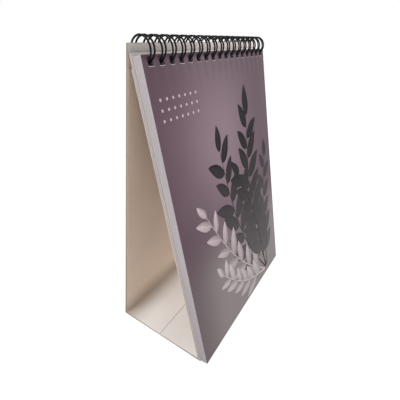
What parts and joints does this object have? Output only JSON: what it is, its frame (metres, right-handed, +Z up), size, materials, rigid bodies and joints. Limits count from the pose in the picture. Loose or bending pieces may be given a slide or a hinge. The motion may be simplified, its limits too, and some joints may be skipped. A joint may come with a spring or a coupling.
{
  "type": "desk calendar",
  "caption": "Upright desk calendar: leaves turn on a black twin-loop wire above a triangular folded board easel with a creased base.",
  "frame": {"origin": "middle of the underside of the calendar's box, on the table", "axes": "+Z up, +Y to the back, +X to the right of the printed side"},
  "size_m": [0.148, 0.0858, 0.2157],
  "materials": {
    "board": "matt paper-wrapped greyboard",
    "lining": "matt uncoated lining paper",
    "leaf": "matt uncoated card",
    "cover": "printed silk-coated card",
    "wire": "black nylon-coated steel wire"
  },
  "bodies": {
    "easel": {"front_board": "board", "back_board": "board", "base_front_board": "board", "base_rear_board": "board", "lining_paper": "lining", "wire_binding": "wire"},
    "leaf_pad": {"month_leaf_02": "leaf", "month_leaf_03": "leaf", "month_leaf_04": "leaf", "month_leaf_05": "leaf", "month_leaf_06": "leaf", "month_leaf_07": "leaf", "month_leaf_08": "leaf", "month_leaf_09": "leaf", "month_leaf_10": "leaf", "month_leaf_11": "leaf", "month_leaf_12": "leaf"},
    "first_leaf": {"month_leaf_01": "leaf"},
    "cover": {"cover_leaf": "cover"}
  },
  "joints": [
    {"name": "pad_turn", "type": "hinge", "parent": "easel", "child": "leaf_pad", "pos_m": [0, 0.00543, 0.20892], "axis": [-1, 0, 0], "range_deg": [0, 20]},
    {"name": "first_leaf_turn", "type": "hinge", "parent": "leaf_pad", "child": "first_leaf", "pos_m": [0, 0.00543, 0.20892], "axis": [-1, 0, 0], "range_deg": [0, 40]},
    {"name": "cover_turn", "type": "hinge", "parent": "first_leaf", "child": "cover", "pos_m": [0, 0.00543, 0.20892], "axis": [-1, 0, 0], "range_deg": [0, 90]}
  ]
}
